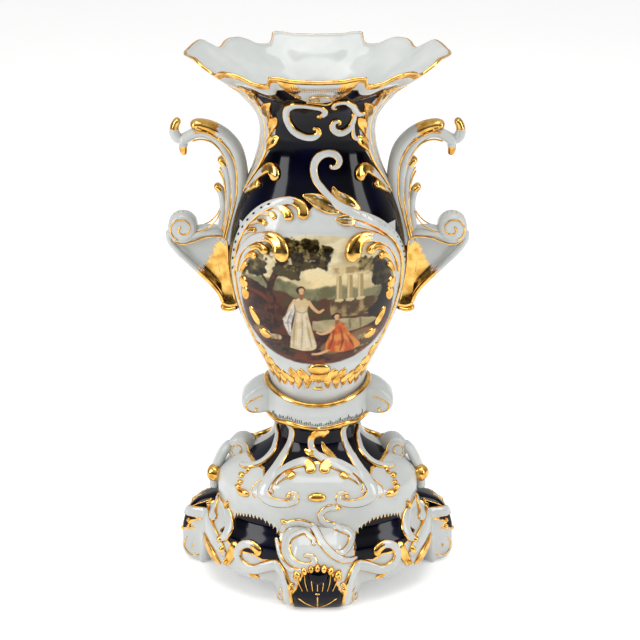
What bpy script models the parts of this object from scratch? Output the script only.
"""A porcelain vase with two scroll handles, standing in the socket of its own footed pedestal.

The vessel and its handles are one hollow casting, and the pedestal is another, open below.
Lengths are in millimetres and angles in degrees from the front, towards the right.
The mesh builder turns millimetres into metres. Both forms are turned profiles squeezed from
front to back, and the moulded scrolls are strokes laid on them, fused into one skin.
"""
import bmesh
import bpy
import math
import numpy as np

MM = 0.001

# Vessel
BODY_HEIGHT = 290.0
FOOT_RADIUS = 38.0
BELLY_RADIUS = 72.5
BELLY_HEIGHT = 122.0
NECK_RADIUS = 44.0
NECK_HEIGHT = 230.0
MOUTH_RADIUS = 104.0
MOUTH_DEPTH_RATIO = 0.77
BELLY_DEPTH_RATIO = 0.86
WALL = 4.5
LIP_WALL = 3.5
BODY_FLOOR = 8.0

# Handles: half their depth at the thickest stem, and what the volute and the web have of it
HANDLE_HEIGHT = 161.0
HANDLE_DEPTH = 8.0
STEM_HALF_WIDTH = 5.8
VOLUTE_RADIUS = 11.5
VOLUTE_PROUD = 1.5
WEB_DEPTH_SHARE = 0.55

# Pedestal
SEAT_HEIGHT = 160.0
SOCKET_CLEARANCE = 3.2
SOCKET_WALL = 2.0
SOCKET_LIP = 7.0
SADDLE_RISE = 8.0
PEDESTAL_NECK_RADIUS = 34.0
DRUM_RADIUS = 85.0
SKIRT_RADIUS = 98.0
FOOT_REACH = 117.0
FOOT_HALF_WIDTH = 27.0
SIDE_FOOT_HALF_WIDTH = 18.0
SIDE_FOOT_TURN = 101.0
SIDE_ROLL_TURN = 111.0
BASE_DEPTH_RATIO = 0.76
ARCH_HEIGHT = 19.0
SIDE_ARCH_RISE = 7.0
FOOT_ROLL_RADIUS = 14.0
FOOT_ROLL_INSET = 1.0
PEDESTAL_WALL = 7.5
PEDESTAL_TOP_WALL = 7.0
KNEE_SHARE = 0.4

# Moulded relief
STROKE_HEIGHT = 4.2
STROKE_SINK = 2.0
RIB_HEIGHT = 2.8
RIB_STEP = 4.0

# Fits and fineness
SEAT_GAP = 0.3
VOXEL = 1.7
BODY_FACES = 4850
PEDESTAL_FACES = 4450
COLUMNS = 144
TRIM = 3.0

# The sizes at which the strokes below were drawn
DRAWN_BODY = 290.0
DRAWN_HANDLE = 161.0
DRAWN_SEAT = 160.0
DRAWN_NECK = 34.0
DRAWN_DRUM = 85.0
DRAWN_COLLAR = 43.0

GLAZE = (0.86, 0.86, 0.84, 1.0)
GLAZE_ROUGHNESS = 0.12
CREASE = 50.0


def smoothstep(low, high, value):
    t = np.clip((value - low) / (high - low), 0.0, 1.0)
    return t * t * (3.0 - 2.0 * t)


def bump(centre, half_width, value):
    """A round bump of height one."""
    t = np.clip(np.abs(value - centre) / half_width, 0.0, 1.0)
    return 0.5 + 0.5 * np.cos(math.pi * t)


def flowing(knots):
    """A curve through the knots that never overshoots them."""
    x = np.array([knot[0] for knot in knots], float)
    y = np.array([knot[1] for knot in knots], float)
    step = np.diff(x)
    slope = np.diff(y) / step
    tangent = np.concatenate(([slope[0]], np.zeros(len(x) - 2), [slope[-1]]))
    for i in range(1, len(x) - 1):
        if slope[i - 1] * slope[i] > 0.0:
            before = 2.0 * step[i] + step[i - 1]
            after = step[i] + 2.0 * step[i - 1]
            tangent[i] = (before + after) / (before / slope[i - 1] + after / slope[i])

    def value(at):
        at = np.clip(at, x[0], x[-1])
        i = np.clip(np.searchsorted(x, at) - 1, 0, len(x) - 2)
        t = (at - x[i]) / step[i]
        return ((1 + 2 * t) * (1 - t) ** 2 * y[i] + t * (1 - t) ** 2 * step[i] * tangent[i]
                + t * t * (3 - 2 * t) * y[i + 1] + t * t * (t - 1) * step[i] * tangent[i + 1])
    return value


def smooth_line(points, steps=6):
    """A rounded line through hand-placed points."""
    p = np.array(points, float)
    p = np.vstack((2 * p[0] - p[1], p, 2 * p[-1] - p[-2]))
    line = []
    for i in range(1, len(p) - 2):
        for t in np.arange(steps) / steps:
            line.append(0.5 * (2 * p[i] + (p[i + 1] - p[i - 1]) * t
                               + (2 * p[i - 1] - 5 * p[i] + 4 * p[i + 1] - p[i + 2]) * t ** 2
                               + (3 * p[i] - p[i - 1] - 3 * p[i + 1] + p[i + 2]) * t ** 3))
    line.append(p[-2])
    return np.array(line)


def unit(vectors):
    return vectors / np.maximum(np.linalg.norm(vectors, axis=-1, keepdims=True), 1e-9)


class Clay:
    """Closed shells gathered for one casting."""

    def __init__(self):
        self.points = []
        self.faces = []

    def shell(self, rows, start, end):
        """Skin a stack of rings, closed by a point at each end."""
        first = len(self.points)
        count = len(rows[0])
        self.points.append(start)
        for row in rows:
            self.points.extend(row)
        self.points.append(end)
        last = len(self.points) - 1
        for j in range(count):
            k = (j + 1) % count
            self.faces.append((first, first + 1 + k, first + 1 + j))
            for i in range(len(rows) - 1):
                a = first + 1 + i * count
                self.faces.append((a + j, a + k, a + count + k, a + count + j))
            a = first + 1 + (len(rows) - 1) * count
            self.faces.append((last, a + j, a + k))

    def stroke(self, line, ups, half_width, up, down, sides=10):
        """A rounded band along a line, with its own width and height at each point."""
        tangent = unit(np.gradient(line, axis=0))
        side = unit(np.cross(tangent, ups))
        rise = unit(np.cross(side, tangent))
        turn = np.arange(sides) * 2 * math.pi / sides
        rows = []
        for i in range(1, len(line) - 1):
            lift = np.where(np.sin(turn) > 0, up[i], down[i]) * np.sin(turn)
            across = np.cos(turn) * half_width[i]
            rows.append(line[i] + across[:, None] * side[i] + lift[:, None] * rise[i])
        self.shell(rows, line[0], line[-1])

    def bead(self, centre, radii, axes=np.eye(3), rings=6, sides=12):
        """An egg with its three radii along the axes."""
        turn = np.arange(sides) * 2 * math.pi / sides
        rows = []
        for i in range(1, rings):
            tilt = math.pi * i / rings
            local = np.stack((np.sin(tilt) * np.cos(turn) * radii[0],
                              np.sin(tilt) * np.sin(turn) * radii[1],
                              np.full(sides, -math.cos(tilt) * radii[2])), axis=1)
            rows.append(centre + local @ axes)
        pole = axes[2] * radii[2]
        self.shell(rows, centre - pole, centre + pole)


def tapered(count, start, end, fullness=0.35):
    """Widths along a stroke: one in the middle, falling to the given ends."""
    t = np.linspace(0.0, 1.0, count)
    rise = start + (1 - start) * smoothstep(0.0, fullness, t)
    fall = end + (1 - end) * smoothstep(0.0, fullness, 1 - t)
    return np.minimum(rise, fall)


def quarter(angle):
    """The angle from the nearer of front and back, 0 to 90."""
    return np.abs((angle + 90.0) % 180.0 - 90.0)


# The vessel's profile, as shares of the way between its foot, belly, neck and mouth
FOOT_TO_BELLY = ((0, 0), (.09, .03), (.2, .12), (.35, .36), (.475, .565), (.656, .81),
                 (.84, .956))
BELLY_TO_NECK = ((0, 0), (.167, .053), (.315, .158), (.426, .28), (.556, .49), (.648, .65),
                 (.76, .825), (.889, .954))
NECK_TO_MOUTH = ((0, 0), (.167, .025), (.333, .115), (.5, .262), (.617, .393), (.7, .525),
                 (.85, .787), (1, 1))

# The mouth's frill: two tabs with sharp corners, waves between them and a point on each side
TAB_EDGE = 21.0
MOUTH_WAVE = ((0, -3.4), (11, -2.8), (17, -1), (TAB_EDGE - .5, -.6), (TAB_EDGE + 2, -7.2),
              (26, -8.8), (31, -8), (35.5, -4.2), (40, -1.8), (45, -1.6), (49, -3), (52.5, -5.6),
              (55.5, -6.2), (59, -3), (63, 1.2), (68, 3), (76, 2), (84, .8), (90, .8))
LEAN = 0.0085
CORNER_SPREAD = 0.014


def stretch(shares, low, high, small, large):
    return [(low + (high - low) * s, small + (large - small) * r) for s, r in shares]


body_radius = flowing(
    stretch(FOOT_TO_BELLY, 0.0, BELLY_HEIGHT, FOOT_RADIUS, BELLY_RADIUS)
    + stretch(BELLY_TO_NECK, BELLY_HEIGHT, NECK_HEIGHT, BELLY_RADIUS, NECK_RADIUS)
    + stretch(NECK_TO_MOUTH, NECK_HEIGHT, BODY_HEIGHT, NECK_RADIUS, MOUTH_RADIUS))

body_depth = flowing(((0, 1), (.07 * BODY_HEIGHT, 1), (.8 * BELLY_HEIGHT, BELLY_DEPTH_RATIO + .03),
                      (BELLY_HEIGHT, BELLY_DEPTH_RATIO), (NECK_HEIGHT, BELLY_DEPTH_RATIO),
                      (BODY_HEIGHT, MOUTH_DEPTH_RATIO)))


mouth_wave = flowing(MOUTH_WAVE)


def frill(angle, height):
    """How far the mouth's edge lifts and spreads there: where it sags it also leans in."""
    a = quarter(angle)
    weight = smoothstep(0.45, 1.0, (height - NECK_HEIGHT) / (BODY_HEIGHT - NECK_HEIGHT))
    lift = mouth_wave(a)
    spread = LEAN * np.minimum(lift, 0)
    spread = spread + CORNER_SPREAD * (bump(TAB_EDGE, 4.0, a) + bump(90.0, 14.0, a))
    return lift * weight, 1 + spread * weight


def body_point(angle, height, out=0.0):
    """A point of the vessel's skin, in world millimetres."""
    lift, spread = frill(angle, height)
    radius = (body_radius(height) + out) * spread
    turn = np.radians(angle)
    return np.stack((radius * np.sin(turn), -radius * body_depth(height) * np.cos(turn),
                     SEAT_HEIGHT + SEAT_GAP + height + lift), axis=-1)


# The pedestal's profile: a share of the seat's height and a radius
LIP_RADIUS = FOOT_RADIUS + SOCKET_CLEARANCE + SOCKET_WALL
COLLAR_RADIUS = LIP_RADIUS + 0.5

pedestal_radius = flowing((
    (0, SKIRT_RADIUS), (.17, SKIRT_RADIUS + 1), (.3, SKIRT_RADIUS - 3),
    (.36, SKIRT_RADIUS - 10), (.41, DRUM_RADIUS - 1), (.5, DRUM_RADIUS),
    (.56, DRUM_RADIUS - 1.5), (.61, DRUM_RADIUS - 8), (.66, DRUM_RADIUS - 19),
    (.7, DRUM_RADIUS - 32), (.755, PEDESTAL_NECK_RADIUS + 6), (.81, PEDESTAL_NECK_RADIUS),
    (.86, PEDESTAL_NECK_RADIUS - .5), (.9, PEDESTAL_NECK_RADIUS + 2.5),
    (.92, COLLAR_RADIUS - 1.5), (.95, COLLAR_RADIUS), (.99, COLLAR_RADIUS - 1),
    (1 + SOCKET_LIP / SEAT_HEIGHT, LIP_RADIUS)))

pedestal_depth = flowing(((0, BASE_DEPTH_RATIO), (.4, BASE_DEPTH_RATIO),
                          (.56, BASE_DEPTH_RATIO + .04), (.755, .95), (.85, 1), (1.2, 1)))

# A foot's outline: a share of the seat's height and of the foot's reach beyond the drum
FOOT_TOP = 0.42
foot_share = flowing(((0, .6), (.025, .76), (.06, .9), (.11, 1), (.19, 1), (.27, .92),
                      (.325, .78), (.3625, .6), (.3875, .36), (FOOT_TOP, 0)))
CAVITY_REACH = 0.4


# The feet stand at the front, the back and a little behind the middle of each side
FEET = ((0.0, FOOT_HALF_WIDTH), (SIDE_FOOT_TURN, SIDE_FOOT_HALF_WIDTH),
        (180.0, FOOT_HALF_WIDTH), (-SIDE_FOOT_TURN, SIDE_FOOT_HALF_WIDTH))


def foot_away(angle):
    """Distance across from the middle line of the nearest foot, in half widths of that foot."""
    away = []
    for turn, half_width in FEET:
        a = np.abs((angle - turn + 180.0) % 360.0 - 180.0)
        away.append(SKIRT_RADIUS * np.sin(np.radians(np.minimum(a, 90.0))) / half_width)
    return np.min(away, axis=0)


def arch(angle):
    """Height of the skirt's lower edge between the feet."""
    rise = ARCH_HEIGHT + SIDE_ARCH_RISE * smoothstep(35, 70, quarter(angle))
    return rise * smoothstep(1.0, 1.4, foot_away(angle))


def pedestal_point(angle, height, out=0.0, reach=1.0):
    """A point of the pedestal's skin, in world millimetres."""
    share = height / SEAT_HEIGHT
    lobe = 1 - smoothstep(0.5, 1.3, foot_away(angle))
    radius = pedestal_radius(share)
    foot = DRUM_RADIUS + (FOOT_REACH - DRUM_RADIUS) * foot_share(share)
    beyond = np.where(share < FOOT_TOP, np.maximum(foot - radius, 0.0), 0.0)
    radius = radius + reach * beyond * lobe + out
    saddle = SADDLE_RISE * np.sin(np.radians(angle)) ** 2 * smoothstep(.97, 1.02, share)
    turn = np.radians(angle)
    return np.stack((radius * np.sin(turn), -radius * pedestal_depth(share) * np.cos(turn),
                     height + saddle), axis=-1)


def on_skin(skin, path, scale, steps=6):
    """Points and outward directions along a path of angle and height on a form."""
    flat = smooth_line(path, steps)
    flat[:, 1] *= scale
    points = np.array([skin(a, h) for a, h in flat])
    side = np.array([skin(a + 0.5, h) - skin(a - 0.5, h) for a, h in flat])
    climb = np.array([skin(a, h + 0.5) - skin(a, h - 0.5) for a, h in flat])
    return points, unit(np.cross(side, climb))


def lay(clay, skin, path, scale, half_width, start=0.3, end=0.3, height=STROKE_HEIGHT):
    """One moulded stroke on a form."""
    points, outward = on_skin(skin, path, scale)
    width = half_width * tapered(len(points), start, end)
    rise = height * tapered(len(points), max(start, .5), max(end, .5))
    clay.stroke(points, outward, width, rise, np.full(len(points), STROKE_SINK))


def knob(clay, skin, place, scale, radius, height):
    """A rounded boss on a form."""
    points, outward = on_skin(skin, (place, (place[0] + 1, place[1])), scale)
    across = unit(points[-1] - points[0])
    axes = np.array((across, np.cross(outward[0], across), outward[0]))
    clay.bead(points[0], (radius, radius, height), axes)


def turned(path, back=False, mirrored=False):
    """The same path seen from behind, or on the other side."""
    sign = -1.0 if mirrored else 1.0
    return [(sign * a + (180.0 if back else 0.0), h) for a, h in path]


def curl(centre, radius, start, turns, hand, squeeze=1.0):
    """A spiral path of angle and height that winds in to a centre."""
    path = []
    for t in np.linspace(0.0, 1.0, int(6 * turns) + 1):
        reach = radius * (1 - 0.75 * t)
        turn = math.radians(start + hand * 360.0 * turns * t)
        path.append((centre[0] + squeeze * reach * math.cos(turn),
                     centre[1] + reach * math.sin(turn)))
    return path


# Strokes of the vessel: angle and height above the foot, for a body of the drawn height
PANEL_FRAME = ((-8, 181), (-25, 184.5), (-49, 171.5), (-64, 146), (-70, 119), (-67, 88),
               (-60, 48), (-56, 28))
PANEL_FRONDS = (((-46, 171), (-33, 176), (-25, 174), (-20, 168)),
                ((-53, 161), (-42, 168), (-35, 172), (-30, 167)),
                ((-59, 151), (-49, 159.5), (-41, 164), (-37, 161)))
VOLUTE = ((-66, 116), (-61, 137), (-53, 148), (-43, 154), (-33, 155.5), (-25, 152), (-21, 145))
VOLUTE_BOSS = (-25, 144)
VOLUTE_FRONDS = (((-57, 131), (-49, 141), (-41, 146), (-35, 142)),
                 ((-56, 125), (-50, 134), (-45, 140), (-39, 138)))
LONG_SCROLL = ((13.6, 220), (4.5, 219), (-2, 212), (-1.5, 200), (4, 190), (14, 179),
               (27, 171), (42, 163), (55, 149), (65, 134), (70.5, 110), (67, 88), (60, 56),
               (56, 28))
LONG_SCROLL_LEAVES = (((10, 176), (0, 181.5), (-12, 187.5)), ((27, 174), (19, 183), (12, 192)),
                      ((29, 165), (20, 168), (14, 171)))
GARLAND = ((55, 114), (53.5, 104), (48, 86), (42, 71), (57, 52), (54, 40), (41, 35),
           (33, 29), (23, 36), (14, 36))
NECK_SCROLL = ((2.7, 258), (-5, 261), (-17, 261), (-26, 253), (-27.5, 243), (-18, 235),
               (-6.5, 232), (3, 237))
NECK_CROSS = (((10.5, 262), (22, 265), (31, 258), (41.5, 250), (48, 254)),
              ((29, 258.5), (36, 248), (34, 238), (24, 235), (14.5, 239), (16, 245)),
              ((39, 243), (38.5, 234), (42.5, 228), (49, 231)))
SIDE_STRIP = ((49, 270), (60.5, 254), (69.5, 238), (71, 225), (77, 207.5), (85, 193), (89, 170))
SIDE_LEAVES = (((64, 250), (50, 254), (40, 258)), ((70, 234), (57, 240), (47, 243)),
               ((73, 216), (60, 222), (48, 229)))
RIM_SHELL = ((-17.5, 278), (-12, 267.5), (0, 264.5), (12, 267.5), (17.5, 278))

# Strokes of the handle: outward from the belly and upward from its widest level
STEMS = (
    (5.8, ((.3, 8), (-4, 29), (-8.2, 43), (-10.9, 60), (-10.3, 77), (-6.5, 91), (1.4, 101),
           (10.5, 107), (18.5, 110), (24.5, 110.5), (28, 108))),
    (5.0, ((2.7, 8), (-2.4, 32), (-5, 47.5), (-5.3, 64.5), (-3, 79), (1.5, 90), (8, 98.5),
           (16, 103.5), (24, 103.8), (30, 101), (35, 98.2), (39, 99))),
    (4.2, ((33.5, 98.5), (38.6, 99), (41.3, 102.5), (41.7, 107), (40.3, 111.5), (37.3, 115.2))),
    (3.8, ((4.4, 10), (.8, 34.7), (-1.1, 51.7), (-.8, 64), (.6, 73), (3.2, 79.6), (7.4, 82.6))),
    (3.4, ((8, 12), (4.8, 28.8), (3.4, 42), (4.2, 51), (6.5, 57), (10.4, 60.6))),
    (4.2, ((-2, 19), (11.6, 22.8), (20.5, 22), (29, 18.5), (34, 15))),
    (3.6, ((47, 24), (46, 13), (39, 3.5), (30.5, -5.5), (21, -15.5), (12, -25.5), (7, -33),
           (4, -42))),
    (3.2, ((2.5, 16), (1, 0), (-2.5, -18), (-6, -43))),
    (2.6, ((7.5, -44), (1, -46), (-7, -44))))
BARB = ((33.5, 100), (34.4, 95.5), (35, 91), (34, 85))
VOLUTE_EYE = (36.7, 25.5)
WEB = ((44, 12), (34, -2), (22, -14), (10, -27), (5, -36), (5, -43), (-1.5, -46), (-8.5, -43),
       (-6, -30), (-3.5, -12), (-2.5, 3), (-2, 19), (9, 21), (20, 20), (34, 17))

# Strokes of the pedestal: angle and height, for the drawn seat height
DRUM_SCROLL = ((-4, 112), (-14, 116.3), (-25, 115), (-31, 109), (-30, 102), (-24, 92.5),
               (-16, 89), (-10.5, 93), (-14, 97))
DRUM_BAND = ((-48, 144), (-42, 134), (-44, 122), (-47, 109), (-41, 102), (-35, 92), (-28, 85.5),
             (-18, 84))
SIDE_BAND = ((-72, 142), (-79, 128), (-70, 119), (-61, 107))
NECK_CURL = ((17, 139), (4, 142.5), (-6.5, 135), (-2, 124), (9, 117))
SKIRT_SCROLL = ((-15, 69), (-21, 61), (-18.5, 52), (-14, 42), (-8, 37.5), (-3, 42), (-5, 50))
FOOT_SCROLL = ((-27, 43), (-35, 43), (-37, 34), (-31, 28), (-23, 32), (-16, 33), (-11, 25),
               (-10, 13), (-10.5, 2))
PILL = (0, 95)
BRACKET = ((32, 134), (36, 122), (42, 115), (52, 108.5), (62, 103.5), (71, 103.5))
BRACKET_EYE = (64.5, 108.5)
BRACKET_TURN = 6.0
BRACKET_ROLL_TURN = 17.0
BRACKET_ROLL_RADIUS = 11.0
BRACKET_ROLL_HALF_DEPTH = 9.5
BRACKET_HALF_WIDTH = 4.6
BRACKET_HALF_DEPTHS = (8.0, 7.0)
BRACKET_FRONT = ((73, 113), (80, 104.5), (86.5, 89), (89, 70))
LEAF_BALL = (87.5, 87)
LEAF_BALL_RADII = (6.5, 7.5, 7.5)
COLLAR_LOBE = ((36, 173), (43, 174), (51.5, 171), (59.5, 164.5), (63.5, 158.5), (62, 151.5),
               (56.5, 147), (49, 146.5), (42, 148), (36, 150))
LOBE_HALF_DEPTH = 15.0


def vessel_shell(clay):
    """The turned wall, outside up and inside down, with a frilled lip."""
    angles = np.arange(COLUMNS) * 360.0 / COLUMNS
    outside = np.concatenate((np.linspace(-TRIM, NECK_HEIGHT, 44),
                              np.linspace(NECK_HEIGHT, BODY_HEIGHT, 20)[1:]))
    inside = np.concatenate((np.linspace(BODY_HEIGHT, NECK_HEIGHT, 20),
                             np.linspace(NECK_HEIGHT, BODY_FLOOR, 40)[1:]))
    wall = flowing(((0, WALL), (NECK_HEIGHT, WALL), (BODY_HEIGHT, LIP_WALL)))
    rows = [body_point(angles, np.full(COLUMNS, h)) for h in outside]
    for h in inside:
        rows.append(body_point(angles, np.full(COLUMNS, h), -wall(h)))
    top = SEAT_HEIGHT + SEAT_GAP
    clay.shell(rows, np.array((0, 0, top - TRIM)), np.array((0, 0, top + BODY_FLOOR)))


def vessel_carving(clay, back):
    """The moulded scrolls of one face of the vessel."""
    scale = BODY_HEIGHT / DRAWN_BODY

    def put(path, half_width, mirrored=False, start=0.3, end=0.3, height=STROKE_HEIGHT):
        lay(clay, body_point, turned(path, back, mirrored), scale, half_width, start, end, height)

    def boss(place, radius, height):
        knob(clay, body_point, turned((place,), back)[0], scale, radius, height)

    put(PANEL_FRAME, 5.5)
    boss((-9.5, 176), 5.5, 5)
    for frond in PANEL_FRONDS:
        put(frond, 2.8)
    for mirrored in (False, True):
        side = -1 if mirrored else 1
        put(VOLUTE, 5.0, mirrored)
        boss((side * VOLUTE_BOSS[0], VOLUTE_BOSS[1]), 7.5, 6)
        for frond in VOLUTE_FRONDS:
            put(frond, 3.0, mirrored)
        for a, h in GARLAND:
            boss((side * a, h), 3.2, 2.4)
        put(SIDE_STRIP, 5.0, mirrored)
        for leaf in SIDE_LEAVES:
            put(leaf, 3.4, mirrored, start=0.8, end=0.1)
    boss((0.5, 39), 8.0, 3.5)
    put(RIM_SHELL, 2.6)
    if back:
        put(PANEL_FRAME, 5.5, mirrored=True)
        boss((9.5, 176), 5.5, 5)
        return
    put(LONG_SCROLL, 5.5)
    put(curl((15.5, 212.5), 7.5, 100, 1.0, -1, squeeze=1.3), 2.6)
    for leaf in LONG_SCROLL_LEAVES:
        put(leaf, 3.6, start=0.8, end=0.1)
    put(NECK_SCROLL, 4.2)
    for stroke in NECK_CROSS:
        put(stroke, 3.6)


def in_plane(path, side, scale, out, base):
    """A handle or bracket path, set in the plane of both handles."""
    line = smooth_line(path)
    return np.stack((side * (out + line[:, 0] * scale), np.zeros(len(line)),
                     base + line[:, 1] * scale), axis=1)


def strand(clay, line, half_width, half_depth, start=0.6, end=0.25):
    """A rounded bar that bends within the handles' plane."""
    taper = tapered(len(line), start, end, 0.3)
    ups = np.tile((0.0, 1.0, 0.0), (len(line), 1))
    depth = half_depth * np.sqrt(taper)
    clay.stroke(line, ups, half_width * taper, depth, depth, sides=12)


def turned_back(points, side, degrees):
    """Places in the handles' plane, swung towards the back about the upright axis."""
    turn = math.radians(degrees)
    x, y, z = np.moveaxis(np.asarray(points, float), -1, 0)
    return np.stack((x * math.cos(turn) - side * y * math.sin(turn),
                     side * x * math.sin(turn) + y * math.cos(turn), z), axis=-1)


def plate(clay, outline, normal, half_depth):
    """A solid cut to an outline, with rounded edges on both faces."""
    centre = outline.mean(axis=0)
    normal = np.array(normal, float)
    rows = []
    for depth, share in ((-1, .8), (-.85, .95), (-.4, 1), (.4, 1), (.85, .95), (1, .8)):
        rows.append(centre + (outline - centre) * share + depth * half_depth * normal)
    clay.shell(rows, centre - half_depth * normal, centre + half_depth * normal)


def roll(clay, centre, across, upward, radius, half_depth):
    """A solid volute: a round plate with a raised spiral on both faces."""
    axis = np.cross(across, upward)
    turn = np.linspace(0, 2 * math.pi, 24, endpoint=False)[:, None]
    plate(clay, centre + radius * (np.cos(turn) * across + np.sin(turn) * upward), axis,
          half_depth)
    for face in (-1, 1):
        path = np.array(curl((0, 0), 0.8 * radius, -60, 1.2, 1))
        line = centre + path[:, :1] * across + path[:, 1:] * upward + face * half_depth * axis
        taper = tapered(len(line), .5, .5)
        clay.stroke(line, np.tile(face * axis, (len(line), 1)), 0.16 * radius * taper,
                    0.2 * radius * taper, np.full(len(line), STROKE_SINK))


def handle(clay, side):
    """One scroll handle: bundled stems, a volute at its elbow and a pointed root."""
    scale = HANDLE_HEIGHT / DRAWN_HANDLE
    base = SEAT_HEIGHT + SEAT_GAP + BELLY_HEIGHT
    for half_width, path in STEMS:
        line = in_plane(path, side, scale, BELLY_RADIUS, base)
        strand(clay, line, half_width, HANDLE_DEPTH * half_width / STEM_HALF_WIDTH)
    strand(clay, in_plane(BARB, side, scale, BELLY_RADIUS, base), 3.4, 3.6)
    x, z = VOLUTE_EYE
    centre = np.array((side * (BELLY_RADIUS + x * scale), 0, base + z * scale))
    roll(clay, centre, np.array((side, 0, 0.0)), np.array((0, 0, 1.0)), VOLUTE_RADIUS * scale,
         HANDLE_DEPTH + VOLUTE_PROUD)
    web = in_plane(WEB + WEB[:1], side, scale, BELLY_RADIUS, base)[:-1]
    plate(clay, web, (0, 1, 0), WEB_DEPTH_SHARE * HANDLE_DEPTH)


def pedestal_shell(clay):
    """The wall of the pedestal: cavity down, feet, then the outside up to the socket's lip."""
    angles = np.arange(COLUMNS) * 360.0 / COLUMNS
    low = arch(angles) - TRIM * (1 - smoothstep(0, ARCH_HEIGHT, arch(angles)))
    knee = KNEE_SHARE * SEAT_HEIGHT
    top = SEAT_HEIGHT + SOCKET_LIP
    roof = SEAT_HEIGHT - PEDESTAL_TOP_WALL
    climb = np.linspace(0, 1, 24)
    outside = [low + (knee - low) * t for t in climb]
    outside += [np.full(COLUMNS, h) for h in np.linspace(knee, top, 50)[1:]]
    inside = [np.full(COLUMNS, h) for h in np.linspace(roof, knee, 30)]
    inside += [low + (knee - low) * t for t in climb[::-1][1:]]
    rows = [pedestal_point(angles, h, -PEDESTAL_WALL, CAVITY_REACH) for h in inside]
    rows += [pedestal_point(angles, h) for h in outside]
    cap = np.array((0, 0, roof))
    clay.shell(rows, cap, np.array((0, 0, top)))


def pedestal_carving(clay, back):
    """The moulded scrolls of one face of the pedestal."""
    scale = SEAT_HEIGHT / DRAWN_SEAT

    def put(path, half_width, mirrored=False, height=STROKE_HEIGHT):
        lay(clay, pedestal_point, turned(path, back, mirrored), scale, half_width, height=height)

    for mirrored in (False, True):
        side = -1 if mirrored else 1
        put(DRUM_SCROLL, 3.8, mirrored)
        put(DRUM_BAND, 4.2, mirrored)
        put(SIDE_BAND, 4.2, mirrored)
        put(SKIRT_SCROLL, 3.2, mirrored)
        put(FOOT_SCROLL, 4.4, mirrored)
        knob(clay, pedestal_point, turned(((side * -16, 107.5),), back)[0], scale, 3.6, 4)
    put(((-5, 95), PILL, (5, 95)), 3.6)
    if not back:
        put(NECK_CURL, 3.2)


def foot_shells(clay):
    """Fanned ribs on the face of each foot."""
    scale = SEAT_HEIGHT / DRAWN_SEAT
    for middle, half_width in FEET:
        for step in (-2, -1, 0, 1, 2):
            spread = step * RIB_STEP * half_width / FOOT_HALF_WIDTH
            rib = ((middle + 0.25 * spread, 6), (middle + 0.6 * spread, 22),
                   (middle + spread, 46 - 0.5 * abs(spread)))
            lay(clay, pedestal_point, rib, scale, 1.8, 0.4, 0.8, RIB_HEIGHT)


def foot_volutes(clay):
    """The rolled ends on both flanks of each foot, whose axes swing back on the side feet."""
    swing = SIDE_ROLL_TURN - SIDE_FOOT_TURN
    squeeze = np.array((1, BASE_DEPTH_RATIO, 1))
    for (middle, half_width), turned_by in zip(FEET, (0.0, swing, 0.0, -swing)):
        turn = math.radians(middle)
        centre = (FOOT_REACH - FOOT_ROLL_RADIUS) * squeeze
        centre = centre * np.array((math.sin(turn), -math.cos(turn), 0))
        centre[2] = FOOT_ROLL_RADIUS
        turn = math.radians(middle + turned_by)
        outward = np.array((math.sin(turn), -math.cos(turn), 0))
        across = np.array((math.cos(turn), math.sin(turn), 0))
        half_depth = (half_width - FOOT_ROLL_INSET) * np.linalg.norm(across * squeeze)
        roll(clay, centre, outward, np.array((0, 0, 1.0)), FOOT_ROLL_RADIUS, half_depth)


def side_bracket(clay, side):
    """The volute on one flank of the drum, the ball below it and the lobe of the collar."""
    scale = SEAT_HEIGHT / DRAWN_SEAT
    wider = DRUM_RADIUS - DRAWN_DRUM
    spread = 0.5 * (PEDESTAL_NECK_RADIUS - DRAWN_NECK + wider)
    depth_above, depth_front = BRACKET_HALF_DEPTHS
    above = in_plane(BRACKET, side, scale, spread, 0)
    strand(clay, turned_back(above, side, BRACKET_TURN), BRACKET_HALF_WIDTH, depth_above)
    x, z = BRACKET_EYE
    centre = turned_back((side * (spread + x * scale), 0, z * scale), side, BRACKET_TURN)
    outward = turned_back((side, 0, 0), side, BRACKET_ROLL_TURN)
    roll(clay, centre, outward, np.array((0, 0, 1.0)), BRACKET_ROLL_RADIUS * scale,
         BRACKET_ROLL_HALF_DEPTH)
    front = in_plane(BRACKET_FRONT, side, scale, wider, 0)
    strand(clay, turned_back(front, side, 0.5 * BRACKET_TURN), BRACKET_HALF_WIDTH, depth_front)
    ball = np.array((side * (wider + LEAF_BALL[0] * scale), 0, LEAF_BALL[1] * scale))
    clay.bead(ball, LEAF_BALL_RADII)
    lobe = in_plane(COLLAR_LOBE, side, scale, COLLAR_RADIUS - DRAWN_COLLAR, 0)
    plate(clay, lobe[:-1], (0, 1, 0), LOBE_HALF_DEPTH)


def lay_mesh(name, points, faces):
    mesh = bpy.data.meshes.new(name)
    mesh.from_pydata([tuple(p * MM) for p in points], [], faces)
    mesh.update()
    piece = bpy.data.objects.new(name, mesh)
    bpy.context.scene.collection.objects.link(piece)
    return piece


def settle(piece):
    """Make what the modifiers show into the piece's own mesh."""
    graph = bpy.context.evaluated_depsgraph_get()
    settled = bpy.data.meshes.new_from_object(piece.evaluated_get(graph))
    piece.modifiers.clear()
    piece.data = settled


def fuse(name, clay, faces):
    """One skin around all the shells, thinned to about the given number of triangles."""
    piece = lay_mesh(name, clay.points, clay.faces)
    remesh = piece.modifiers.new("fuse", "REMESH")
    remesh.mode = "VOXEL"
    remesh.voxel_size = VOXEL * MM
    settle(piece)
    thin = piece.modifiers.new("thin", "DECIMATE")
    thin.ratio = min(1.0, faces / (2.0 * len(piece.data.polygons)))
    settle(piece)
    return piece


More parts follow.
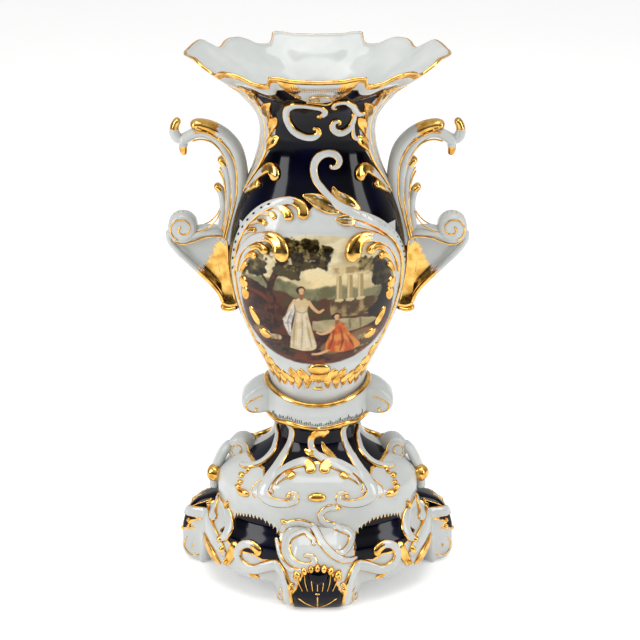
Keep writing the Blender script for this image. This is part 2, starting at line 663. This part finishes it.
def cutter(name, radius, low, high, sides=64):
    """An upright cylinder that only cuts."""
    body = bmesh.new()
    bmesh.ops.create_cone(body, cap_ends=True, segments=sides, radius1=radius * MM,
                          radius2=radius * MM, depth=(high - low) * MM)
    mesh = bpy.data.meshes.new(name)
    body.to_mesh(mesh)
    body.free()
    tool = bpy.data.objects.new(name, mesh)
    tool.location.z = 0.5 * (low + high) * MM
    tool.hide_render = True
    tool.display_type = "WIRE"
    bpy.context.scene.collection.objects.link(tool)
    return tool


def cut(piece, tool):
    trim = piece.modifiers.new(tool.name, "BOOLEAN")
    trim.operation = "DIFFERENCE"
    trim.solver = "EXACT"
    trim.object = tool


def glaze(piece, colour, roughness):
    material = bpy.data.materials.new(piece.name + "_glaze")
    material.use_nodes = True
    shader = material.node_tree.nodes["Principled BSDF"]
    shader.inputs["Base Color"].default_value = colour
    shader.inputs["Roughness"].default_value = roughness
    shader.inputs["Metallic"].default_value = 0.0
    piece.data.materials.clear()
    piece.data.materials.append(material)
    piece.data.shade_smooth()
    piece.data.set_sharp_from_angle(angle=math.radians(CREASE))


def clear_scene():
    for old in list(bpy.data.objects):
        bpy.data.objects.remove(old, do_unlink=True)


def make_vase_body():
    clay = Clay()
    vessel_shell(clay)
    for back in (False, True):
        vessel_carving(clay, back)
    for side in (-1, 1):
        handle(clay, side)
    piece = fuse("vase_body", clay, BODY_FACES)
    wide = 2 * MOUTH_RADIUS
    cut(piece, cutter("foot_plane", wide, 0, SEAT_HEIGHT + SEAT_GAP))
    glaze(piece, GLAZE, GLAZE_ROUGHNESS)


def make_pedestal():
    clay = Clay()
    pedestal_shell(clay)
    for back in (False, True):
        pedestal_carving(clay, back)
    foot_shells(clay)
    foot_volutes(clay)
    for side in (-1, 1):
        side_bracket(clay, side)
    piece = fuse("pedestal", clay, PEDESTAL_FACES)
    cut(piece, cutter("table_plane", 2 * FOOT_REACH, -2 * FOOT_REACH, 0))
    top = SEAT_HEIGHT + SOCKET_LIP + 3 * SADDLE_RISE
    cut(piece, cutter("socket_bore", FOOT_RADIUS + SOCKET_CLEARANCE, SEAT_HEIGHT, top))
    glaze(piece, GLAZE, GLAZE_ROUGHNESS)


clear_scene()
make_vase_body()
make_pedestal()
